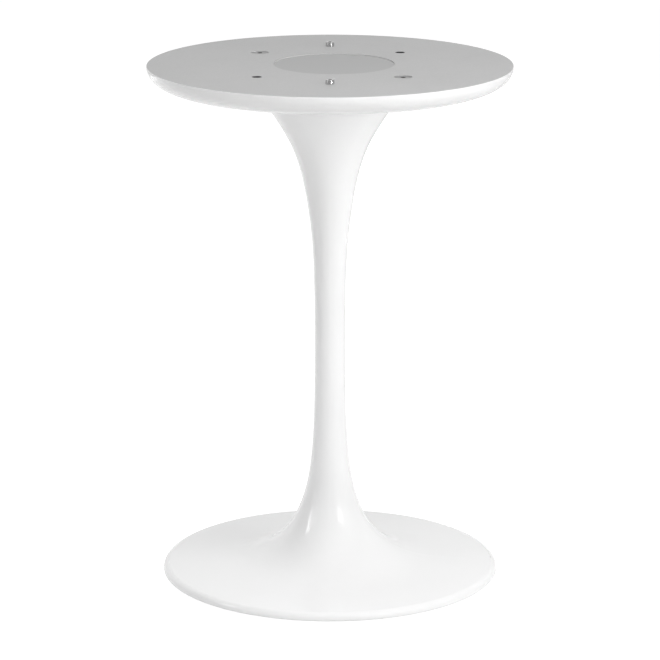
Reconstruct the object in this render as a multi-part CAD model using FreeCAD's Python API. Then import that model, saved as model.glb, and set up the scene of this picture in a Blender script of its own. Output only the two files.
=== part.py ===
"""Pedestal base for a round table: trumpet foot, slender stem, flared head and a round-edged plate.

Millimetres. +Z is up, the floor is z = 0, and the origin is on the axis at the floor.
The front of the base is towards -Y.
"""
import FreeCAD, Part
import math
import os

from FreeCAD import Vector

# Whole base
HEIGHT = 720.0                 # floor to the plate's top face
FOOT_DIAMETER = 470.0
STEM_DIAMETER = 42.0           # at the waist

# Top plate
PLATE_DIAMETER = 500.0         # at its sharp upper edge
PLATE_THICKNESS = 29.0
PLATE_EDGE_REACH = 42.0        # how far in the swelling edge meets the underside, more than the thickness
PLATE_ARRIS = 0.3              # broken upper edge

# Foot
RIM_UPPER_ROUND = 9.0          # soft round over the foot's edge
RIM_LOWER_ROUND = 2.0          # tight round under it
RIM_LAND = 17.0                # width of the thick rim, measured in from the edge
DOME_SLOPE = 4.0               # degrees that the foot rises where it leaves the rim
WALL = 6.0                     # casting wall, square to the surface
WALL_POINTS = 3                # points that carry the inner wall, for each pole of the outer sweep

# Trumpet: how far the surface stands out beyond the waist, and its height above the floor
TRUMPET_STATIONS = (
    (144.0, 15.3), (89.0, 24.1), (57.0, 41.4), (26.6, 80.0), (12.2, 120.0), (3.5, 180.0), (0.4, 260.0),
)

# Head: how far the surface stands out beyond the waist, and its depth below the plate's underside
FLARE_STATIONS = ((1.0, 266.0), (3.1, 221.0), (8.9, 171.0), (21.2, 111.0), (34.4, 77.0), (57.5, 38.5))
FLANGE_MARGIN = 17.0           # flange beyond the middles of the fixings
FLANGE_EDGE = 5.0              # thickness of the flange at its edge
FLANGE_ROUND = 2.0             # rounding under its edge
FLANGE_RUN_OUT = 8.0           # degrees that the flare still rises where it ends
SPIGOT_DIAMETER = 165.0        # round boss that locates the plate
SPIGOT_RIGHT = 5.5             # off the axis, so that the plate goes on one way round
SPIGOT_BACK = 6.0
SPIGOT_DROP = 0.8              # its face lies this far below the plate's top
SPIGOT_CHAMFER = 0.3
SPIGOT_CLEARANCE = 0.2         # radial

# Fixings on a square, one diagonal screwed and the other open
SQUARE_PITCH = 195.0
OPEN_HOLE_DIAMETER = 13.5
SCREW_DIAMETER = 8.0
SCREW_HOLE_CLEARANCE = 0.5     # radial, in the plate
SCREW_THREAD_CLEARANCE = 0.05  # radial, in the flange
SCREW_ENGAGEMENT = 6.6         # threaded into the flange
SCREW_HEAD_DIAMETER = 24.0
SCREW_HEAD_THICKNESS = 3.0
SCREW_HEAD_CHAMFER = 0.5
SCREW_HEAD_DROP = 0.6          # head below the plate's top
SCREW_HEAD_CLEARANCE = 0.3     # radial, in its counterbore
SCREW_SOCKET = 6.0             # across flats
SCREW_SOCKET_DEPTH = 2.8

# Locating studs in line from front to back
STUD_PITCH = 300.0
STUD_DIAMETER = 12.0
STUD_PROUD = 6.0               # above the plate's top
STUD_CHAMFER = 1.0
STUD_SUNK = 16.0               # shank in the plate, down to the floor of its hole
STUD_SHANK_RELIEF = 0.3        # radial, room for the glue
STUD_HOLE_CLEARANCE = 0.05     # radial, round the free end

# Glide ring under the rim
GLIDE_INSET = 11.0             # middle of the ring, measured in from the foot's edge
GLIDE_WIDTH = 4.8
GLIDE_HEIGHT = 4.0
GLIDE_PROUD = 1.0              # below the casting, on the floor
GLIDE_CLEARANCE = 0.1          # radial, each side

# Heights and radii that follow
UNDERSIDE = HEIGHT - PLATE_THICKNESS
SPIGOT_FACE = HEIGHT - SPIGOT_DROP
FOOT_RADIUS = FOOT_DIAMETER / 2
STEM_RADIUS = STEM_DIAMETER / 2
PLATE_RADIUS = PLATE_DIAMETER / 2
SPIGOT_RADIUS = SPIGOT_DIAMETER / 2
GLIDE_RADIUS = FOOT_RADIUS - GLIDE_INSET
RIM_BOTTOM = GLIDE_PROUD
HEAD_SEAT = HEIGHT - SCREW_HEAD_DROP - SCREW_HEAD_THICKNESS
HALF_SQUARE = SQUARE_PITCH / 2
FLANGE_RADIUS = HALF_SQUARE * math.sqrt(2) + FLANGE_MARGIN
SCREWED_PLACES = (Vector(-HALF_SQUARE, HALF_SQUARE, 0), Vector(HALF_SQUARE, -HALF_SQUARE, 0))
OPEN_PLACES = (Vector(-HALF_SQUARE, -HALF_SQUARE, 0), Vector(HALF_SQUARE, HALF_SQUARE, 0))
SPIGOT_PLACE = Vector(SPIGOT_RIGHT, SPIGOT_BACK, 0)
STUD_PLACES = (Vector(0, -STUD_PITCH / 2, 0), Vector(0, STUD_PITCH / 2, 0))
AXIS = Vector(0, 0, 1)
CUT_SPARE = 1.0                # cutters reach this far past the faces that they cut
SAME_PLACE = 1e-6              # lengths that differ by less are the same


def at(radius, height):
    """Point of a turned profile, drawn in the XZ plane."""
    return Vector(radius, 0, height)


def line(start, end):
    """Straight edge."""
    return Part.LineSegment(start, end).toShape()


def turned(edges):
    """Solid turned once round the axis from a closed profile."""
    return Part.Face(Part.Wire(edges)).revolve(Vector(0, 0, 0), AXIS, 360)


def turned_polygon(points):
    """Solid turned from straight edges through the points, closed back to the first."""
    return turned([line(a, b) for a, b in zip(points, points[1:] + points[:1])])


def turned_band(inner, outer, bottom, top):
    """Flat ring between two radii and two heights."""
    return turned_polygon([at(inner, bottom), at(outer, bottom), at(outer, top), at(inner, top)])


def drill(place, radius, bottom, top):
    """Upright cylinder at a place beside the axis."""
    return Part.makeCylinder(radius, top - bottom, Vector(place.x, place.y, bottom), AXIS)


def smooth_curve(points, start_tangent, end_tangent):
    """Spline through the points, leaving and arriving along the given directions."""
    curve = Part.BSplineCurve()
    curve.interpolate(Points=points, InitialTangent=start_tangent, FinalTangent=end_tangent)
    return curve


def is_circle(edge, radius, height):
    """Whether an edge is the circle of this radius about the axis at this height."""
    curve = edge.Curve
    if not isinstance(curve, Part.Circle):
        return False
    same_radius = math.isclose(curve.Radius, radius, abs_tol=SAME_PLACE)
    return same_radius and math.isclose(curve.Center.z, height, abs_tol=SAME_PLACE)


def rounded_circle(solid, radius, height, rounding):
    """Solid with its circular edge of this radius and height rounded."""
    return solid.makeFillet(rounding, [edge for edge in solid.Edges if is_circle(edge, radius, height)])


def arc(middle, radius, first, last):
    """Arc of a turned profile, between two angles in degrees above the horizontal."""
    turns = [math.radians(angle) for angle in (first, (first + last) / 2, last)]
    return Part.Arc(*[middle + Vector(math.cos(turn), 0, math.sin(turn)) * radius for turn in turns])


def rim_arcs():
    """Edge of the foot: a tight round from its underside, then a soft one to where the foot starts to rise."""
    widest = RIM_BOTTOM + RIM_LOWER_ROUND
    under = arc(at(FOOT_RADIUS - RIM_LOWER_ROUND, widest), RIM_LOWER_ROUND, -90, 0)
    over = arc(at(FOOT_RADIUS - RIM_UPPER_ROUND, widest), RIM_UPPER_ROUND, 0, 90 - DOME_SLOPE)
    return under, over


def sweep_curve():
    """Outer profile in one sweep: over the foot, up the trumpet and the stem, and out to the flange."""
    trumpet = [at(STEM_RADIUS + outset, height) for outset, height in TRUMPET_STATIONS]
    flare = [at(STEM_RADIUS + outset, UNDERSIDE - depth) for outset, depth in FLARE_STATIONS]
    rim_end = rim_arcs()[1].EndPoint
    points = [rim_end] + trumpet + flare + [at(FLANGE_RADIUS, UNDERSIDE - FLANGE_EDGE)]
    slope = math.radians(DOME_SLOPE)
    run_out = math.radians(FLANGE_RUN_OUT)
    start_tangent = Vector(-math.cos(slope), 0, math.sin(slope))
    end_tangent = Vector(math.cos(run_out), 0, math.sin(run_out))
    return smooth_curve(points, start_tangent, end_tangent)


def wall_curve():
    """Profile of the hollow, one wall inside the outer sweep."""
    outer = sweep_curve()
    first, last = outer.FirstParameter, outer.LastParameter
    steps = WALL_POINTS * outer.NbPoles
    inner = []
    for step in range(steps + 1):
        parameter = first + (last - first) * step / steps
        tangent = outer.tangent(parameter)[0]
        inward = Vector(-tangent.z, 0, tangent.x)
        inner.append(outer.value(parameter) + inward * WALL)
    return smooth_curve(inner, outer.tangent(first)[0], outer.tangent(last)[0])


def spigot():
    """Boss with a chamfered face, rooted in the flange."""
    root = UNDERSIDE - FLANGE_EDGE
    return turned_polygon([
        at(0, root),
        at(SPIGOT_RADIUS, root),
        at(SPIGOT_RADIUS, SPIGOT_FACE - SPIGOT_CHAMFER),
        at(SPIGOT_RADIUS - SPIGOT_CHAMFER, SPIGOT_FACE),
        at(0, SPIGOT_FACE),
    ]).translated(SPIGOT_PLACE)


def pedestal_body():
    """Solid form of the pedestal, before it is hollowed."""
    under, over = rim_arcs()
    corners = [
        at(FLANGE_RADIUS, UNDERSIDE - FLANGE_EDGE),
        at(FLANGE_RADIUS, UNDERSIDE),
        at(0, UNDERSIDE),
        at(0, RIM_BOTTOM),
        under.StartPoint,
    ]
    head_and_underside = [line(a, b) for a, b in zip(corners, corners[1:])]
    body = turned([under.toShape(), over.toShape(), sweep_curve().toShape()] + head_and_underside)
    body = rounded_circle(body, FLANGE_RADIUS, UNDERSIDE - FLANGE_EDGE, FLANGE_ROUND)
    return body.fuse(spigot()).removeSplitter()


def pedestal_hollow():
    """Hollow of the casting: open under the foot, up the stem, and closed under the spigot's face."""
    wall = wall_curve()
    foot_edge, head_edge = wall.StartPoint, wall.EndPoint
    floor = RIM_BOTTOM - CUT_SPARE
    core = turned([
        line(at(0, floor), at(foot_edge.x, floor)),
        line(at(foot_edge.x, floor), foot_edge),
        wall.toShape(),
        line(head_edge, at(0, head_edge.z)),
        line(at(0, head_edge.z), at(0, floor)),
    ])
    flange_floor = UNDERSIDE - WALL
    within_rim = Part.makeCylinder(FOOT_RADIUS - RIM_LAND, flange_floor - floor, at(0, floor), AXIS)
    pocket_bottom = flange_floor - CUT_SPARE
    pocket = drill(SPIGOT_PLACE, SPIGOT_RADIUS - WALL, pocket_bottom, SPIGOT_FACE - WALL)
    return core.common(within_rim).fuse(pocket)


def glide_groove():
    """Groove in the rim's underside that takes the glide ring."""
    inner = GLIDE_RADIUS - GLIDE_WIDTH / 2 - GLIDE_CLEARANCE
    outer = GLIDE_RADIUS + GLIDE_WIDTH / 2 + GLIDE_CLEARANCE
    floor = RIM_BOTTOM - CUT_SPARE
    return turned_band(inner, outer, floor, GLIDE_HEIGHT)


def pedestal():
    """Hollow casting of foot, stem and head, with the flange drilled on the square."""
    cuts = [pedestal_hollow(), glide_groove()]
    mid_air = HEIGHT / 2
    top = UNDERSIDE + CUT_SPARE
    for place in OPEN_PLACES:
        cuts.append(drill(place, OPEN_HOLE_DIAMETER / 2, mid_air, top))
    for place in SCREWED_PLACES:
        cuts.append(drill(place, SCREW_DIAMETER / 2 + SCREW_THREAD_CLEARANCE, mid_air, top))
    return pedestal_body().cut(cuts)


def top_plate():
    """Round plate with a swelling edge, a middle opening, the square of holes and two stud holes."""
    upper_edge = at(PLATE_RADIUS, HEIGHT)
    flat_edge = at(PLATE_RADIUS - PLATE_EDGE_REACH, UNDERSIDE)
    oval = Part.Ellipse(upper_edge, flat_edge, at(flat_edge.x, HEIGHT))
    blank = turned([
        line(at(0, UNDERSIDE), flat_edge),
        Part.ArcOfEllipse(oval, 0, math.pi / 2).toShape(),
        line(upper_edge, at(0, HEIGHT)),
        line(at(0, HEIGHT), at(0, UNDERSIDE)),
    ])
    blank = rounded_circle(blank, PLATE_RADIUS, HEIGHT, PLATE_ARRIS)
    bottom = UNDERSIDE - CUT_SPARE
    top = HEIGHT + CUT_SPARE
    cuts = [drill(SPIGOT_PLACE, SPIGOT_RADIUS + SPIGOT_CLEARANCE, bottom, top)]
    for place in OPEN_PLACES:
        cuts.append(drill(place, OPEN_HOLE_DIAMETER / 2, bottom, top))
    for place in SCREWED_PLACES:
        cuts.append(drill(place, SCREW_DIAMETER / 2 + SCREW_HOLE_CLEARANCE, bottom, top))
        cuts.append(drill(place, SCREW_HEAD_DIAMETER / 2 + SCREW_HEAD_CLEARANCE, HEAD_SEAT, top))
    for place in STUD_PLACES:
        cuts.append(drill(place, STUD_DIAMETER / 2 + STUD_HOLE_CLEARANCE, HEIGHT - STUD_SUNK, top))
    return blank.cut(cuts)


def plate_screw():
    """One flat-headed screw on the axis, with a hexagon socket."""
    head_top = HEAD_SEAT + SCREW_HEAD_THICKNESS
    shank_end = UNDERSIDE - SCREW_ENGAGEMENT
    head_radius = SCREW_HEAD_DIAMETER / 2
    body = turned_polygon([
        at(0, shank_end),
        at(SCREW_DIAMETER / 2, shank_end),
        at(SCREW_DIAMETER / 2, HEAD_SEAT),
        at(head_radius, HEAD_SEAT),
        at(head_radius, head_top - SCREW_HEAD_CHAMFER),
        at(head_radius - SCREW_HEAD_CHAMFER, head_top),
        at(0, head_top),
    ])
    corner = SCREW_SOCKET / math.sqrt(3)
    socket_floor = head_top - SCREW_SOCKET_DEPTH
    turns = [math.radians(60 * step) for step in range(7)]
    hexagon = [Vector(corner * math.cos(a), corner * math.sin(a), socket_floor) for a in turns]
    socket = Part.Face(Part.makePolygon(hexagon)).extrude(AXIS * (SCREW_SOCKET_DEPTH + CUT_SPARE))
    return body.cut(socket)


def locating_stud():
    """One stud on the axis: a relieved shank in the plate and a chamfered free end above it."""
    radius = STUD_DIAMETER / 2
    shank_radius = radius - STUD_SHANK_RELIEF
    tip = HEIGHT + STUD_PROUD
    return turned_polygon([
        at(0, HEIGHT - STUD_SUNK),
        at(shank_radius, HEIGHT - STUD_SUNK),
        at(shank_radius, HEIGHT),
        at(radius, HEIGHT),
        at(radius, tip - STUD_CHAMFER),
        at(radius - STUD_CHAMFER, tip),
        at(0, tip),
    ])


def glide_ring():
    """Plain ring that the foot stands on, let into the rim's groove."""
    inner = GLIDE_RADIUS - GLIDE_WIDTH / 2
    outer = GLIDE_RADIUS + GLIDE_WIDTH / 2
    return turned_band(inner, outer, 0, GLIDE_HEIGHT)


def repeated(shape, places):
    """The same solid at each place, as one group."""
    return Part.makeCompound([shape.translated(place) for place in places])


def main():
    """Build every piece and write one file each."""
    nodes = {
        "pedestal": pedestal(),
        "top_plate": top_plate(),
        "plate_screws": repeated(plate_screw(), SCREWED_PLACES),
        "locating_studs": repeated(locating_stud(), STUD_PLACES),
        "glide_ring": glide_ring(),
    }
    os.makedirs("parts", exist_ok=True)
    for name, shape in nodes.items():
        shape.exportStep(f"parts/{name}.step")
        print(name, len(shape.Solids), "solids", shape.isValid(), round(shape.Volume / 1000, 1), "cm3")


main()
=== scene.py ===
"""Looks of a pedestal table base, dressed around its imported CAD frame.

Metres. +Z is up, the floor is z = 0, and the camera stands in front and looks along +Y.
"""

import logging
import math
from abc import ABC, abstractmethod
from dataclasses import dataclass
from enum import Enum
from typing import Any, Callable, Optional, Sequence, Union

import bpy
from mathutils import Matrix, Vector


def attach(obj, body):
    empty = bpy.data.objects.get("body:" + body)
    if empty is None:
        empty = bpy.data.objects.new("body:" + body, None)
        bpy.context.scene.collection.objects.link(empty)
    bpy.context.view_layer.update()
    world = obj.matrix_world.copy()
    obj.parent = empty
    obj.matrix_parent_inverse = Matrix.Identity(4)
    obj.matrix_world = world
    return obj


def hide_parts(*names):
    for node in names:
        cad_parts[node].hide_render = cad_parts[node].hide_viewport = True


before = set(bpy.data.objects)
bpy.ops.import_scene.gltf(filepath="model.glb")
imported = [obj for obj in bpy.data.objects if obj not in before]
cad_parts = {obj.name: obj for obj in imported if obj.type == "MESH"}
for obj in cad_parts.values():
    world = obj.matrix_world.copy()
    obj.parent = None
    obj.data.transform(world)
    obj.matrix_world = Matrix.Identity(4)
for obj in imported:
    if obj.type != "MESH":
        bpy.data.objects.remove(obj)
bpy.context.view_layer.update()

log = logging.getLogger("table_base")

MM = 0.001
BODY = "root"

Color = tuple[float, float, float]
Place = tuple[float, float, float]
Socket = bpy.types.NodeSocket
Value = Union[float, Sequence[float], Socket]


class Node(str, Enum):
    """Names of the CAD nodes."""

    PEDESTAL = "pedestal"
    TOP_PLATE = "top_plate"
    PLATE_SCREWS = "plate_screws"
    LOCATING_STUDS = "locating_studs"
    GLIDE_RING = "glide_ring"


class Slot(str, Enum):
    """Names of the record's material slots."""

    SCREW = "screw_steel"
    STUD = "stud_steel"
    GLIDE = "glide_plastic"


class Reach(str, Enum):
    """What of a mesh is picked for the next step."""

    VERTICES = "VERT"
    EDGES = "EDGE"
    FACES = "FACE"


def grey(level: float) -> Color:
    """Neutral colour of this linear level."""
    return (level, level, level)


def opaque(color: Color) -> tuple[float, float, float, float]:
    """The colour with full alpha."""
    return (*color, 1.0)


class NodeSheet:
    """A node tree that is filled one node at a time."""

    COLOR_ENDS = (6, 7)  # the two colour inputs of a Mix node
    COLOR_RESULT = 2  # its colour output

    def __init__(self, tree: bpy.types.NodeTree) -> None:
        """Take up an empty tree."""
        self.tree = tree

    def add(self, kind: str, inputs: Optional[dict[Any, Value]] = None, **settings: Any) -> bpy.types.Node:
        """Add a node.

        Args:
            kind: Blender's name for the node's type.
            inputs: Values or source sockets, by input name or number.
            settings: Properties of the node itself.

        Returns:
            The new node.
        """
        node = self.tree.nodes.new(kind)
        for name, setting in settings.items():
            setattr(node, name, setting)
        for key, value in (inputs or {}).items():
            if isinstance(value, Socket):
                self.tree.links.new(value, node.inputs[key])
            else:
                node.inputs[key].default_value = value
        return node

    def math(self, operation: str, first: Value, second: Value = 0.0, third: Value = 0.0) -> Socket:
        """Result of a Math node on up to three values."""
        inputs = {0: first, 1: second, 2: third}
        return self.add("ShaderNodeMath", inputs, operation=operation).outputs[0]

    def step(self, value: Value, start: float, end: float) -> Socket:
        """Smooth mask that goes from 0 at start to 1 at end."""
        inputs = {"Value": value, "From Min": start, "From Max": end}
        return self.add("ShaderNodeMapRange", inputs, interpolation_type="SMOOTHSTEP").outputs["Result"]

    def span(self, value: Value, low: float, high: float) -> Socket:
        """A 0 to 1 mask stretched to run from low to high."""
        inputs = {"Value": value, "To Min": low, "To Max": high}
        return self.add("ShaderNodeMapRange", inputs).outputs["Result"]

    def blend(self, mask: Value, low: Value, high: Value) -> Socket:
        """Number that goes from low to high with the mask."""
        inputs = {"Factor": mask, "A": low, "B": high}
        return self.add("ShaderNodeMix", inputs, data_type="FLOAT").outputs["Result"]

    def tint(self, mask: Socket, low: Union[Color, Socket], high: Union[Color, Socket]) -> Socket:
        """Colour that goes from low to high with the mask.

        Args:
            mask: 0 to 1.
            low: Colour where the mask is 0.
            high: Colour where the mask is 1.

        Returns:
            The mixed colour.
        """
        inputs: dict[Any, Value] = {"Factor": mask}
        for key, end in zip(self.COLOR_ENDS, (low, high)):
            inputs[key] = end if isinstance(end, Socket) else opaque(end)
        return self.add("ShaderNodeMix", inputs, data_type="RGBA").outputs[self.COLOR_RESULT]

    def place(self) -> Socket:
        """Object coordinates of the surface."""
        return self.add("ShaderNodeTexCoord").outputs["Object"]

    def axes(self, vector: Value) -> tuple[Socket, ...]:
        """The three numbers of a vector."""
        return tuple(self.add("ShaderNodeSeparateXYZ", {0: vector}).outputs)

    def radius(self, vector: Value) -> Socket:
        """Distance of a place from the upright axis.

        Args:
            vector: The place.

        Returns:
            How far it stands from the axis, level with it.
        """
        across, along, _ = self.axes(vector)
        squares = self.math("ADD", self.math("MULTIPLY", across, across), self.math("MULTIPLY", along, along))
        return self.math("SQRT", squares)

    def fold(self, vector: Value, pitch: tuple[float, float]) -> Socket:
        """Place counted from the nearest of the pieces that repeat to both sides of the axis.

        Args:
            vector: Place on the whole base.
            pitch: How far each piece stands from the axis, across and along.

        Returns:
            Place counted from the middle of its own piece.
        """
        across, along, height = self.axes(vector)
        near_across = self.math("SUBTRACT", self.math("ABSOLUTE", across), pitch[0])
        near_along = self.math("SUBTRACT", self.math("ABSOLUTE", along), pitch[1])
        return self.add("ShaderNodeCombineXYZ", {0: near_across, 1: near_along, 2: height}).outputs[0]

    def shift(self, vector: Value, middle: Sequence[float]) -> Socket:
        """Place counted from another middle."""
        inputs = {0: vector, 1: tuple(middle)}
        return self.add("ShaderNodeVectorMath", inputs, operation="SUBTRACT").outputs[0]

    def bumped(self, relief: Socket, height: float, strength: float = 1.0) -> Socket:
        """Normal of a surface with this relief on it."""
        inputs = {"Height": relief, "Distance": height, "Strength": strength}
        return self.add("ShaderNodeBump", inputs).outputs[0]

    def seen(self, mirror_share: float) -> Socket:
        """Mask of what the camera sees: 1 straight on, less in a polished or clear surface.

        Args:
            mirror_share: Value of the mask in a reflection or through clear material.

        Returns:
            The mask.
        """
        path = self.add("ShaderNodeLightPath").outputs
        mirrored = self.math("MAXIMUM", path["Is Glossy Ray"], path["Is Transmission Ray"])
        return self.math("MAXIMUM", path["Is Camera Ray"], self.math("MULTIPLY", mirrored, mirror_share))


class Effect(Enum):
    """Surface effects that several finishes share, each a node group that is built once."""

    MOTTLE = "soft_mottle"
    PEEL = "sprayed_peel"
    TURNING = "turned_marks"
    GROOVES = "fine_grooves"

    def mask(self, sheet: NodeSheet, place: Value, scale: float) -> Socket:
        """The effect's mask, placed in a material at its own scale."""
        inputs = {"Place": place, "Scale": scale}
        return sheet.add("ShaderNodeGroup", inputs, node_tree=self.tree()).outputs["Mask"]

    def tree(self) -> bpy.types.NodeTree:
        """The effect's node group, made on its first use.

        Returns:
            The group, with a place and a scale going in and a mask coming out.
        """
        known = bpy.data.node_groups.get(self.value)
        if known:
            return known
        tree = bpy.data.node_groups.new(self.value, "ShaderNodeTree")
        tree.interface.new_socket("Place", in_out="INPUT", socket_type="NodeSocketVector")
        tree.interface.new_socket("Scale", in_out="INPUT", socket_type="NodeSocketFloat")
        tree.interface.new_socket("Mask", in_out="OUTPUT", socket_type="NodeSocketFloat")
        sheet = NodeSheet(tree)
        inlet = sheet.add("NodeGroupInput").outputs
        makers: dict[Effect, Callable[[NodeSheet, Socket, Socket], Socket]] = {
            Effect.MOTTLE: self._mottle,
            Effect.PEEL: self._peel,
            Effect.TURNING: self._turning,
            Effect.GROOVES: self._grooves,
        }
        sheet.add("NodeGroupOutput", {"Mask": makers[self](sheet, inlet["Place"], inlet["Scale"])})
        return tree

    @staticmethod
    def _mottle(sheet: NodeSheet, place: Socket, scale: Socket) -> Socket:
        """Soft blotches with finer ones inside them.

        Args:
            sheet: The group's own sheet.
            place: Where on the surface.
            scale: How close the blotches are.

        Returns:
            The mask.
        """
        inputs = {"Vector": place, "Scale": scale, "Detail": 4.0, "Roughness": 0.55}
        noise = sheet.add("ShaderNodeTexNoise", inputs).outputs[0]
        return sheet.step(noise, 0.3, 0.7)

    @staticmethod
    def _peel(sheet: NodeSheet, place: Socket, scale: Socket) -> Socket:
        """Low, close waves of a sprayed coat."""
        inputs = {"Vector": place, "Scale": scale, "Detail": 1.0, "Roughness": 0.4}
        return sheet.add("ShaderNodeTexNoise", inputs).outputs[0]

    @staticmethod
    def _turning(sheet: NodeSheet, place: Socket, scale: Socket) -> Socket:
        """Fine rings round the upright axis, uneven as a tool leaves them.

        Args:
            sheet: The group's own sheet.
            place: Where on the surface.
            scale: How close the rings are.

        Returns:
            The mask.
        """
        rings = sheet.math("MULTIPLY", sheet.radius(place), scale)
        inputs = {"W": rings, "Scale": 1.0, "Detail": 2.0}
        return sheet.add("ShaderNodeTexNoise", inputs, noise_dimensions="1D").outputs[0]

    @staticmethod
    def _grooves(sheet: NodeSheet, place: Socket, scale: Socket) -> Socket:
        """Fine level grooves one above the other, as turning leaves them round a pin.

        Args:
            sheet: The group's own sheet.
            place: Where on the surface.
            scale: How close the grooves are.

        Returns:
            The mask, 0 in a groove and 1 between two.
        """
        _, _, height = sheet.axes(place)
        wave = sheet.math("SINE", sheet.math("MULTIPLY", height, scale))
        return sheet.math("MULTIPLY_ADD", wave, 0.5, 0.5)


@dataclass(frozen=True)
class Finish(ABC):
    """A surface finish that can be made into a material once."""

    name: str

    def material(self) -> bpy.types.Material:
        """The finish as a material, made on its first use.

        Returns:
            The material.
        """
        known = bpy.data.materials.get(self.name)
        if known:
            return known
        made = bpy.data.materials.new(self.name)
        made.use_nodes = True
        made.node_tree.nodes.clear()
        sheet = NodeSheet(made.node_tree)
        sheet.add("ShaderNodeOutputMaterial", {"Surface": self.shader(sheet)})
        return made

    @abstractmethod
    def shader(self, sheet: NodeSheet) -> Socket:
        """Build the finish's nodes.

        Args:
            sheet: The material's empty sheet.

        Returns:
            The shader's output.
        """


@dataclass(frozen=True)
class GlossLacquer(Finish):
    """Sprayed white gloss on a casting, dull inside it and bare on the spigot's face."""

    tone: Color = grey(0.86)
    thin_tone: Color = grey(0.84)
    inside_tone: Color = grey(0.7)
    bare_tone: Color = grey(0.32)
    bare_light: Color = grey(0.3392)
    bare_above: float = 718.8 * MM
    bare_blur: float = 0.1 * MM
    gloss: float = 0.3
    gloss_change: float = 0.04
    inside_gloss: float = 0.6
    bare_gloss: float = 0.5
    coat_gloss: float = 0.06
    cloud_scale: float = 5.0
    peel_scale: float = 260.0
    ring_scale: float = 900.0
    relief_height: float = 0.02 * MM
    outer_lean: float = -0.01
    inner_lean: float = -0.04
    least_radius: float = 1.0 * MM

    def shader(self, sheet: NodeSheet) -> Socket:
        """Build the finish's nodes.

        Args:
            sheet: The material's empty sheet.

        Returns:
            The shader's output.
        """
        place = sheet.place()
        _, _, height = sheet.axes(place)
        cloud = Effect.MOTTLE.mask(sheet, place, self.cloud_scale)
        peel = Effect.PEEL.mask(sheet, place, self.peel_scale)
        rings = Effect.TURNING.mask(sheet, place, self.ring_scale)
        bare = sheet.step(height, self.bare_above - self.bare_blur, self.bare_above + self.bare_blur)
        inside = self.inside(sheet, place)
        covered = sheet.math("SUBTRACT", 1.0, sheet.math("MAXIMUM", bare, inside))

        color = sheet.tint(cloud, self.tone, self.thin_tone)
        color = sheet.tint(inside, color, self.inside_tone)
        color = sheet.tint(bare, color, sheet.tint(rings, self.bare_tone, self.bare_light))
        roughness = sheet.span(cloud, self.gloss, self.gloss + self.gloss_change)
        roughness = sheet.blend(inside, roughness, self.inside_gloss)
        roughness = sheet.blend(bare, roughness, self.bare_gloss)
        shader = sheet.add("ShaderNodeBsdfPrincipled", {
            "Base Color": color,
            "Roughness": roughness,
            "Coat Weight": covered,
            "Coat Roughness": self.coat_gloss,
            "Normal": sheet.bumped(sheet.blend(bare, peel, rings), self.relief_height),
        })
        return shader.outputs[0]

    def inside(self, sheet: NodeSheet, place: Socket) -> Socket:
        """Mask of the hollow's wall, whose normals lean towards the axis.

        Args:
            sheet: The material's sheet.
            place: Where on the surface.

        Returns:
            The mask, 1 on the hollow's wall.
        """
        across, along, _ = sheet.axes(place)
        facing = sheet.add("ShaderNodeTexCoord").outputs["Normal"]
        face_across, face_along, _ = sheet.axes(facing)
        outward = sheet.math("ADD", sheet.math("MULTIPLY", across, face_across),
                             sheet.math("MULTIPLY", along, face_along))
        lean = sheet.math("DIVIDE", outward, sheet.math("MAXIMUM", sheet.radius(place), self.least_radius))
        return sheet.step(lean, self.outer_lean, self.inner_lean)


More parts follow.
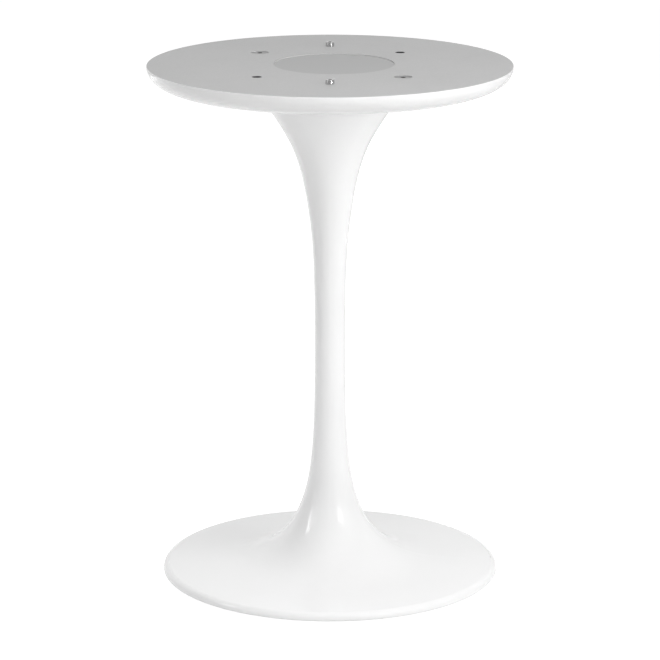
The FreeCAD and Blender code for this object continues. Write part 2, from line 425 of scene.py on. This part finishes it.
@dataclass(frozen=True)
class SealedBoard(Finish):
    """Fibre board: grey sealer on its top, white lacquer round its edge and below, raw in its holes, with
    near-black painted shade on the walls of the two open holes.
    """

    sealer: Color = grey(0.395)
    sealer_light: Color = grey(0.415)
    lacquer: Color = grey(0.81)
    lacquer_thin: Color = grey(0.79)
    opening_wall: Color = grey(0.55)
    seat_wall: Color = grey(0.5)
    # painted shade: near black on the walls of the two open holes
    open_hole_painted_shade: Color = grey(0.06)
    top: float = 720.0 * MM
    underside: float = 691.0 * MM
    skin: float = 0.15 * MM
    lip_radius: float = 249.6 * MM
    lip_blur: float = 0.2 * MM
    hole_reach: float = 175.0 * MM
    opening_reach: float = 84.0 * MM
    opening_middle: Place = (5.5 * MM, 6.0 * MM, 0.0)
    reach_blur: float = 1.0 * MM
    sealer_gloss: float = 0.5
    sealer_gloss_change: float = 0.12
    lacquer_gloss: float = 0.3
    lacquer_gloss_change: float = 0.04
    coat_gloss: float = 0.06
    cloud_scale: float = 9.0
    cloud_share: float = 0.7
    speck_scale: float = 420.0
    speck_share: float = 0.3
    peel_scale: float = 260.0
    relief_height: float = 0.02 * MM

    def shader(self, sheet: NodeSheet) -> Socket:
        """Build the finish's nodes.

        Args:
            sheet: The material's empty sheet.

        Returns:
            The shader's output.
        """
        place = sheet.place()
        cloud = Effect.MOTTLE.mask(sheet, place, self.cloud_scale)
        speck = Effect.MOTTLE.mask(sheet, place, self.speck_scale)
        peel = Effect.PEEL.mask(sheet, place, self.peel_scale)
        sealed, raw = self.sealed_and_raw(sheet, place)
        bare = sheet.math("MAXIMUM", sealed, raw)

        grain = sheet.math("ADD", sheet.math("MULTIPLY", cloud, self.cloud_share),
                           sheet.math("MULTIPLY", speck, self.speck_share))
        top_color = sheet.tint(grain, self.sealer, self.sealer_light)
        edge_color = sheet.tint(cloud, self.lacquer, self.lacquer_thin)
        color = sheet.tint(sealed, edge_color, top_color)
        # the walls of the open holes take painted shade here
        color = sheet.tint(raw, color, self.wall_color(sheet, place))
        lacquer_gloss = sheet.span(cloud, self.lacquer_gloss, self.lacquer_gloss + self.lacquer_gloss_change)
        sealer_gloss = sheet.span(speck, self.sealer_gloss, self.sealer_gloss + self.sealer_gloss_change)
        shader = sheet.add("ShaderNodeBsdfPrincipled", {
            "Base Color": color,
            "Roughness": sheet.blend(bare, lacquer_gloss, sealer_gloss),
            "Coat Weight": sheet.math("SUBTRACT", 1.0, bare),
            "Coat Roughness": self.coat_gloss,
            "Normal": sheet.bumped(sheet.blend(bare, peel, speck), self.relief_height),
        })
        return shader.outputs[0]

    def sealed_and_raw(self, sheet: NodeSheet, place: Socket) -> tuple[Socket, Socket]:
        """Masks of the sealed top and of the walls in the holes, which are raw board or, in the open holes,
        painted shade.

        Args:
            sheet: The material's sheet.
            place: Where on the surface.

        Returns:
            The two masks.
        """
        _, _, height = sheet.axes(place)
        radius = sheet.radius(place)
        half_skin = 0.5 * self.skin
        on_top = sheet.step(height, self.top - self.skin, self.top - half_skin)
        within_lip = sheet.step(radius, self.lip_radius, self.lip_radius - self.lip_blur)
        above_underside = sheet.step(height, self.underside + half_skin, self.underside + self.skin)
        below_top = sheet.math("SUBTRACT", 1.0, on_top)
        near = sheet.step(radius, self.hole_reach, self.hole_reach - self.reach_blur)
        raw = sheet.math("MULTIPLY", sheet.math("MULTIPLY", above_underside, below_top), near)
        return sheet.math("MULTIPLY", on_top, within_lip), raw

    def wall_color(self, sheet: NodeSheet, place: Socket) -> Socket:
        """Colour of the holes' walls: near-black painted shade in the open holes, lighter raw board round the
        screws and the spigot.

        Args:
            sheet: The material's sheet.
            place: Where on the surface.

        Returns:
            The colour.
        """
        across, along, _ = sheet.axes(place)
        screwed = sheet.math("LESS_THAN", sheet.math("MULTIPLY", across, along), 0.0)
        from_opening = sheet.radius(sheet.shift(place, self.opening_middle))
        in_opening = sheet.step(from_opening, self.opening_reach, self.opening_reach - self.reach_blur)
        # near-black painted shade on the walls of the two open holes that hold no screw
        color = sheet.tint(screwed, self.open_hole_painted_shade, self.seat_wall)
        return sheet.tint(in_opening, color, self.opening_wall)


@dataclass(frozen=True)
class PlatedSteel(Finish):
    """Turned and plated steel, dull or bright, with painted shade darkening the bore in the middle of each
    piece.
    """

    tone: Color
    worn_tone: Color
    # painted shade that darkens the bore, the recess in the middle of each piece
    bore_painted_shade: Color
    gloss: float
    pitch: tuple[float, float]
    bore: float
    marks: Effect
    mark_scale: float
    mark_depth: float
    bore_blur: float = 0.1 * MM
    gloss_change: float = 0.08
    patch_scale: float = 180.0

    def shader(self, sheet: NodeSheet) -> Socket:
        """Build the finish's nodes.

        Args:
            sheet: The material's empty sheet.

        Returns:
            The shader's output.
        """
        place = sheet.place()
        own = sheet.fold(place, self.pitch)
        patch = Effect.MOTTLE.mask(sheet, place, self.patch_scale)
        marks = self.marks.mask(sheet, own, self.mark_scale)
        in_bore = sheet.step(sheet.radius(own), self.bore, self.bore - self.bore_blur)
        color = sheet.tint(patch, self.tone, self.worn_tone)
        shader = sheet.add("ShaderNodeBsdfPrincipled", {
            # the bore's darker colour is painted shade in the recess
            "Base Color": sheet.tint(in_bore, color, self.bore_painted_shade),
            "Metallic": 1.0,
            "Roughness": sheet.span(patch, self.gloss, self.gloss + self.gloss_change),
            "Normal": sheet.bumped(marks, self.mark_depth),
        })
        return shader.outputs[0]


@dataclass(frozen=True)
class MouldedPlastic(Finish):
    """Plain matt plastic with a faint moulded grain and scuffs."""

    tone: Color = grey(0.75)
    scuffed_tone: Color = grey(0.62)
    gloss: float = 0.45
    gloss_change: float = 0.2
    scuff_scale: float = 60.0
    grain_scale: float = 1500.0
    grain_height: float = 0.03 * MM
    grain_strength: float = 0.6

    def shader(self, sheet: NodeSheet) -> Socket:
        """Build the finish's nodes.

        Args:
            sheet: The material's empty sheet.

        Returns:
            The shader's output.
        """
        place = sheet.place()
        scuff = Effect.MOTTLE.mask(sheet, place, self.scuff_scale)
        grain = Effect.PEEL.mask(sheet, place, self.grain_scale)
        shader = sheet.add("ShaderNodeBsdfPrincipled", {
            "Base Color": sheet.tint(scuff, self.tone, self.scuffed_tone),
            "Roughness": sheet.span(scuff, self.gloss, self.gloss + self.gloss_change),
            "Normal": sheet.bumped(grain, self.grain_height, self.grain_strength),
        })
        return shader.outputs[0]


@dataclass(frozen=True)
class StudioWhite(Finish):
    """Floor that throws light back as white paper does, and shows as white with a faint shadow."""

    paper: Color = grey(0.8)
    shadow_share: float = 0.25
    glow: float = 0.9
    mirror_share: float = 0.5

    def shader(self, sheet: NodeSheet) -> Socket:
        """Build the finish's nodes.

        Args:
            sheet: The material's empty sheet.

        Returns:
            The shader's output.
        """
        bounce = sheet.add("ShaderNodeBsdfDiffuse", {"Color": opaque(self.paper)})
        shaded = sheet.add("ShaderNodeBsdfDiffuse", {"Color": opaque(grey(self.shadow_share))})
        glow = sheet.add("ShaderNodeEmission", {"Strength": self.glow})
        shown = sheet.add("ShaderNodeAddShader", {0: shaded.outputs[0], 1: glow.outputs[0]})
        mix = {0: sheet.seen(self.mirror_share), 1: bounce.outputs[0], 2: shown.outputs[0]}
        return sheet.add("ShaderNodeMixShader", mix).outputs[0]


def dress(piece: bpy.types.Object, finish: Finish) -> None:
    """Give a piece one finish all over."""
    piece.data.materials.clear()
    piece.data.materials.append(finish.material())


LACQUER = GlossLacquer("gloss_lacquer")
BOARD = SealedBoard("sealed_board")
ZINC = PlatedSteel(
    "dull_zinc",
    # near-black painted shade in the hex socket
    tone=grey(0.40), worn_tone=grey(0.34), bore_painted_shade=grey(0.06), gloss=0.4,
    pitch=(97.5 * MM, 97.5 * MM), bore=3.6 * MM,
    marks=Effect.TURNING, mark_scale=1400.0, mark_depth=0.01 * MM,
)
BRIGHT = PlatedSteel(
    "bright_plate",
    # darker painted shade in the drilled centre
    tone=grey(0.6), worn_tone=grey(0.5), bore_painted_shade=grey(0.35), gloss=0.14,
    pitch=(0.0, 150.0 * MM), bore=3.0 * MM,
    marks=Effect.GROOVES, mark_scale=18000.0, mark_depth=0.014 * MM,
)
GLIDE = MouldedPlastic("glide_plastic_white")
PAPER = StudioWhite("studio_paper")


class Bench:
    """One piece in the making, and the steps that shape it."""

    MERGE = 1e-6
    NEAR = 1e-5
    SMOOTH_BELOW = 35.0

    def __init__(self, name: str) -> None:
        """Clear the bench for a piece.

        Args:
            name: What the piece is to be called.
        """
        self.name = name
        self.piece: bpy.types.Object
        bpy.ops.object.select_all(action="DESELECT")

    def take(self) -> None:
        """Take up the piece just added, with its place in its mesh."""
        self.piece = bpy.context.object
        self.piece.name = self.name
        bpy.ops.object.transform_apply(location=True, rotation=True, scale=True)

    def post(self, radius: float, bottom: float, top: float, sides: int = 96, turn: float = 0.0) -> None:
        """Start from an upright post on the axis.

        Args:
            radius: To its corners.
            bottom: Height of its lower end.
            top: Height of its upper end.
            sides: How many flats it has round it.
            turn: Degrees that it is turned about its axis.
        """
        middle = (0, 0, (bottom + top) / 2)
        bpy.ops.mesh.primitive_cylinder_add(vertices=sides, radius=radius, depth=top - bottom,
                                            location=middle, rotation=(0, 0, math.radians(turn)))
        self.take()

    def tile(self, width: float, height: float, middle: Vector) -> None:
        """Start from an upright tile that faces the front, in the plane of the axis.

        Args:
            width: Across.
            height: Upwards.
            middle: Place of its middle.
        """
        bpy.ops.mesh.primitive_plane_add(size=1.0, location=middle, rotation=(math.radians(90), 0, 0))
        bpy.context.object.scale = (width, height, 1.0)
        self.take()

    def pick(self, reach: Reach, wanted: Callable[[Vector], bool]) -> None:
        """Select what has all its corners where they are wanted, for the next step.

        Args:
            reach: Whether corners, edges or faces are picked.
            wanted: Tells of a corner's place whether it counts.
        """
        bpy.ops.object.mode_set(mode="OBJECT")
        bpy.context.tool_settings.mesh_select_mode = [reach is kind for kind in Reach]
        mesh = self.piece.data
        inside = [wanted(corner.co) for corner in mesh.vertices]
        for corner, chosen in zip(mesh.vertices, inside):
            corner.select = chosen
        for group in (mesh.edges, mesh.polygons):
            for part in group:
                part.select = all(inside[number] for number in part.vertices)
        bpy.ops.object.mode_set(mode="EDIT")

    def level(self, reach: Reach, height: float, within: float = math.inf) -> None:
        """Pick what lies at one height, and not farther from the axis than this."""
        self.pick(reach, lambda corner: abs(corner.z - height) < self.NEAR and corner.xy.length < within)

    def soften(self, offset: float, steps: int, affect: Reach = Reach.EDGES) -> None:
        """Bevel what is picked: a chamfer in one step, a round in more."""
        kind = "VERTICES" if affect is Reach.VERTICES else "EDGES"
        bpy.ops.mesh.bevel(offset=offset, offset_type="OFFSET", segments=steps, affect=kind)

    def inset(self, thickness: float, depth: float = 0.0) -> None:
        """Draw the picked face in, and sink it where a depth is given."""
        bpy.ops.mesh.inset(thickness=thickness, depth=-depth)

    def extrude(self, rise: float) -> None:
        """Carry the picked face up, or down where the rise is negative."""
        bpy.ops.mesh.extrude_region_move(TRANSFORM_OT_translate={"value": (0, 0, rise)})

    def spin(self, steps: int) -> None:
        """Turn the piece's outline once round the axis.

        Args:
            steps: How many stations the turn has.
        """
        bpy.ops.object.mode_set(mode="EDIT")
        bpy.ops.mesh.select_all(action="SELECT")
        bpy.ops.mesh.delete(type="ONLY_FACE")
        bpy.ops.mesh.select_all(action="SELECT")
        bpy.ops.mesh.spin(steps=steps, angle=math.tau, center=(0, 0, 0), axis=(0, 0, 1))

    def cut_by(self, tool: "Bench") -> None:
        """Cut the other bench's piece out of this one.

        Args:
            tool: Bench that holds the cutter, which is used up.
        """
        self.rest()
        bpy.ops.object.select_all(action="DESELECT")
        bpy.context.view_layer.objects.active = self.piece
        cut = self.piece.modifiers.new("cut", "BOOLEAN")
        cut.object = tool.piece
        cut.solver = "EXACT"
        bpy.ops.object.modifier_apply(modifier=cut.name)
        bpy.data.objects.remove(tool.piece)

    def rest(self) -> None:
        """Leave edit mode."""
        bpy.ops.object.mode_set(mode="OBJECT")

    def clean(self) -> None:
        """Merge what meets, turn all faces outwards and shade the rounds smooth."""
        bpy.context.view_layer.objects.active = self.piece
        bpy.ops.object.mode_set(mode="EDIT")
        bpy.ops.mesh.select_all(action="SELECT")
        bpy.ops.mesh.remove_doubles(threshold=self.MERGE)
        bpy.ops.mesh.normals_make_consistent(inside=False)
        self.rest()
        self.select_only(self.piece)
        bpy.ops.object.shade_smooth_by_angle(angle=math.radians(self.SMOOTH_BELOW))

    @staticmethod
    def select_only(piece: bpy.types.Object) -> None:
        """Select one piece and nothing else.

        Args:
            piece: The piece, which also becomes the active one.
        """
        bpy.ops.object.select_all(action="DESELECT")
        piece.select_set(True)
        bpy.context.view_layer.objects.active = piece

    def repeat(self, places: Sequence[Vector]) -> None:
        """Set the piece at the first place and a copy at each other one, joined.

        Args:
            places: Middles of the piece and its copies.
        """
        copies = [self.piece]
        for _ in places[1:]:
            self.select_only(self.piece)
            bpy.ops.object.duplicate()
            copies.append(bpy.context.object)
        for copy, place in zip(copies, places):
            self.select_only(copy)
            copy.location = place
            bpy.ops.object.transform_apply(location=True, rotation=True, scale=True)
        for copy in copies:
            copy.select_set(True)
        bpy.context.view_layer.objects.active = self.piece
        bpy.ops.object.join()

    def hand_over(self, node: Node, finish: Finish) -> bpy.types.Object:
        """Dress the finished piece and let it stand for its CAD node.

        Args:
            node: The CAD node that it stands for.
            finish: What it is dressed in.

        Returns:
            The dressed piece.
        """
        dress(self.piece, finish)
        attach(self.piece, BODY)
        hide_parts(node.value)
        return self.piece


class SubAssembly(ABC):
    """A part of the base that is built and dressed by itself."""

    @abstractmethod
    def build(self) -> bpy.types.Object:
        """Model or take up the piece and dress it.

        Returns:
            The dressed piece.
        """

    @staticmethod
    def take_up(node: Node, finish: Finish) -> bpy.types.Object:
        """Keep a CAD node as it is and dress it.

        Args:
            node: The CAD node.
            finish: What it is dressed in.

        Returns:
            The node's own object.
        """
        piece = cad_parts[node.value]
        dress(piece, finish)
        return piece


@dataclass
class Pedestal(SubAssembly):
    """Hollow casting of foot, stem and head."""

    finish: Finish = LACQUER

    def build(self) -> bpy.types.Object:
        """Take up the casting and dress it."""
        return self.take_up(Node.PEDESTAL, self.finish)


@dataclass
class TopPlate(SubAssembly):
    """Round board on the pedestal's head."""

    finish: Finish = BOARD

    def build(self) -> bpy.types.Object:
        """Take up the board and dress it."""
        return self.take_up(Node.TOP_PLATE, self.finish)


@dataclass
class PlateScrews(SubAssembly):
    """Two flat-headed screws with hexagon sockets, on one diagonal of the square."""

    finish: Finish = ZINC
    head_radius: float = 12.0 * MM
    head_seat: float = 716.4 * MM
    head_top: float = 719.4 * MM
    head_round: float = 0.5 * MM
    head_round_steps: int = 3
    shank_radius: float = 4.0 * MM
    shank_end: float = 684.4 * MM
    shank_chamfer: float = 0.7 * MM
    socket_sides: int = 6
    socket_turn: float = 30.0
    socket_corner: float = 6.0 * MM / math.sqrt(3)
    socket_floor: float = 716.6 * MM
    socket_lead: float = 0.3 * MM
    socket_lead_steps: int = 2
    point_share: float = 0.7
    point_depth: float = 0.6 * MM
    cutter_spare: float = 1.0 * MM
    half_square: float = 97.5 * MM

    def places(self) -> list[Vector]:
        """Middles of the two screws."""
        half = self.half_square
        return [Vector((-half, half, 0)), Vector((half, -half, 0))]

    def build(self) -> bpy.types.Object:
        """Model the screws and dress them.

        Returns:
            Both screws as one piece.
        """
        tool = self.socket()
        bench = Bench("plate_screws_dressed")
        bench.post(self.head_radius, self.head_seat, self.head_top)
        bench.level(Reach.FACES, self.head_seat)
        bench.inset(self.head_radius - self.shank_radius)
        bench.extrude(self.shank_end - self.head_seat)
        bench.level(Reach.EDGES, self.shank_end)
        bench.soften(self.shank_chamfer, 1)
        bench.level(Reach.EDGES, self.head_top)
        bench.soften(self.head_round, self.head_round_steps)
        bench.cut_by(tool)
        bench.level(Reach.EDGES, self.head_top, within=self.socket_corner + Bench.NEAR)
        bench.soften(self.socket_lead, self.socket_lead_steps)
        bench.clean()
        bench.repeat(self.places())
        return bench.hand_over(Node.PLATE_SCREWS, self.finish)

    def socket(self) -> Bench:
        """Hexagon that cuts the socket, with the hollow point that its drill left.

        Returns:
            Bench that holds the cutter.
        """
        tool = Bench("socket_cutter")
        tool.post(self.socket_corner, self.socket_floor, self.head_top + self.cutter_spare,
                  sides=self.socket_sides, turn=self.socket_turn)
        tool.level(Reach.FACES, self.socket_floor)
        tool.inset(self.socket_corner * self.point_share, -self.point_depth)
        tool.rest()
        return tool


@dataclass
class LocatingStuds(SubAssembly):
    """Two bright pins in line from front to back, each with a drilled centre."""

    finish: Finish = BRIGHT
    radius: float = 6.0 * MM
    relief: float = 0.3 * MM
    bottom: float = 704.0 * MM
    shoulder: float = 720.0 * MM
    tip: float = 726.0 * MM
    tip_round: float = 1.0 * MM
    tip_round_steps: int = 3
    centre_rim: float = 2.0 * MM
    centre_depth: float = 2.2 * MM
    half_pitch: float = 150.0 * MM

    def places(self) -> list[Vector]:
        """Middles of the two studs."""
        return [Vector((0, -self.half_pitch, 0)), Vector((0, self.half_pitch, 0))]

    def build(self) -> bpy.types.Object:
        """Model the studs and dress them.

        Returns:
            Both studs as one piece.
        """
        centre_radius = self.radius - self.tip_round - self.centre_rim
        bench = Bench("locating_studs_dressed")
        bench.post(self.radius, self.shoulder, self.tip)
        bench.level(Reach.FACES, self.shoulder)
        bench.inset(self.relief)
        bench.extrude(self.bottom - self.shoulder)
        bench.level(Reach.EDGES, self.tip)
        bench.soften(self.tip_round, self.tip_round_steps)
        bench.level(Reach.FACES, self.tip)
        bench.inset(self.centre_rim)
        bench.level(Reach.FACES, self.tip, within=centre_radius + Bench.NEAR)
        bench.inset(self.centre_rim, self.centre_depth)
        bench.clean()
        bench.repeat(self.places())
        return bench.hand_over(Node.LOCATING_STUDS, self.finish)


@dataclass
class GlideRing(SubAssembly):
    """Plastic ring under the foot's rim, rounded where it meets the floor."""

    finish: Finish = GLIDE
    radius: float = 224.0 * MM
    width: float = 4.8 * MM
    height: float = 4.0 * MM
    lower_round: float = 1.2 * MM
    lower_round_steps: int = 4
    turn_steps: int = 240

    def build(self) -> bpy.types.Object:
        """Model the ring and dress it.

        Returns:
            The dressed ring.
        """
        bench = Bench("glide_ring_dressed")
        bench.tile(self.width, self.height, Vector((self.radius, 0, self.height / 2)))
        bench.level(Reach.VERTICES, 0.0)
        bench.soften(self.lower_round, self.lower_round_steps, Reach.VERTICES)
        bench.spin(self.turn_steps)
        bench.clean()
        return bench.hand_over(Node.GLIDE_RING, self.finish)


@dataclass(frozen=True)
class Softbox:
    """Flat studio lamp that faces a point, and shows in polished surfaces where it is mirrored."""

    name: str
    place: Place
    aim: Place
    size: tuple[float, float]
    power: float
    spread: float = 180.0
    mirrored: bool = False

    def build(self) -> None:
        """Hang the lamp and turn it to its aim."""
        bpy.ops.object.light_add(type="AREA", location=self.place)
        lamp = bpy.context.object
        lamp.name = self.name
        lamp.data.shape = "RECTANGLE"
        lamp.data.size, lamp.data.size_y = self.size
        lamp.data.energy = self.power
        lamp.data.spread = math.radians(self.spread)
        lamp.rotation_euler = (Vector(self.aim) - Vector(self.place)).to_track_quat("-Z", "Y").to_euler()
        lamp.visible_glossy = self.mirrored


MIDDLE: Place = (0.0, 0.0, 0.35)
HEAD: Place = (0.0, 0.0, 0.64)
TRUMPET: Place = (0.0, 0.0, 0.09)


@dataclass
class Studio:
    """White room, lamps and camera."""

    eye: Place = (0.0, -4.393, 1.4816)
    tilt_down: float = 14.49
    lens: float = 177.96
    floor_size: float = 24.0
    fill_light: float = 0.42
    back_wall: float = 0.6
    mirrored_wall: float = 0.85
    wall_full_from: float = 0.8
    lamps: tuple[Softbox, ...] = (
        Softbox("key_right", (2.4, -1.3, 1.6), MIDDLE, (1.4, 1.8), 27.5),
        Softbox("window_high", (1.75, -2.05, 0.8), HEAD, (0.7, 0.4), 0.2, spread=16.0, mirrored=True),
        Softbox("overhead", (0.4, -1.2, 2.7), MIDDLE, (2.2, 1.8), 41.0),
        Softbox("wrap_left", (-1.7, 2.4, 0.5), MIDDLE, (1.0, 0.8), 19.0),
        Softbox("window_right", (1.62, -1.93, 1.32), TRUMPET, (0.8, 0.65), 4.8, mirrored=True),
        Softbox("window_left", (-2.22, -1.18, 1.32), TRUMPET, (1.0, 0.9), 1.6, mirrored=True),
        Softbox("strip_left", (-2.42, -0.6, 1.36), TRUMPET, (0.35, 1.0), 4.0, mirrored=True),
    )

    def build(self) -> None:
        """Lay the floor, light the room and place the camera."""
        self.lay_floor()
        self.light_room()
        for lamp in self.lamps:
            lamp.build()
            log.info("lamp %s", lamp.name)
        self.place_camera()

    def lay_floor(self) -> None:
        """Wide paper floor under the base."""
        bpy.ops.mesh.primitive_plane_add(size=self.floor_size)
        floor = bpy.context.object
        floor.name = "studio_floor"
        dress(floor, PAPER)

    def light_room(self) -> None:
        """Pale wall behind the base and a dimmer room in front, seen as plain white by the camera."""
        world = bpy.data.worlds.new("studio_room")
        bpy.context.scene.world = world
        world.use_nodes = True
        world.node_tree.nodes.clear()
        sheet = NodeSheet(world.node_tree)
        _, along, _ = sheet.axes(sheet.add("ShaderNodeTexCoord").outputs["Generated"])
        behind = sheet.step(along, 0.0, self.wall_full_from)
        wall = sheet.math("MAXIMUM", sheet.seen(self.mirrored_wall), self.back_wall)
        white = opaque(grey(1.0))
        strength = sheet.blend(behind, self.fill_light, wall)
        light = sheet.add("ShaderNodeBackground", {"Color": white, "Strength": strength})
        backdrop = sheet.add("ShaderNodeBackground", {"Color": white, "Strength": 1.0})
        straight = sheet.add("ShaderNodeLightPath").outputs["Is Camera Ray"]
        shown = sheet.add("ShaderNodeMixShader", {0: straight, 1: light.outputs[0], 2: backdrop.outputs[0]})
        sheet.add("ShaderNodeOutputWorld", {"Surface": shown.outputs[0]})

    def place_camera(self) -> None:
        """Camera at the photograph's height, tilt and distance."""
        turn = (math.radians(90 - self.tilt_down), 0, 0)
        bpy.ops.object.camera_add(location=self.eye, rotation=turn)
        camera = bpy.context.object
        camera.data.lens = self.lens
        bpy.context.scene.camera = camera
        bpy.context.scene.view_settings.view_transform = "Standard"


def main() -> None:
    """Dress the base and build the studio."""
    logging.basicConfig(level=logging.INFO, format="%(name)s: %(message)s")
    for part in (Pedestal(), TopPlate(), PlateScrews(), LocatingStuds(), GlideRing()):
        piece = part.build()
        log.info("piece %s, %d faces", piece.name, len(piece.data.polygons))
    Studio().build()


if __name__ == "__main__":
    main()
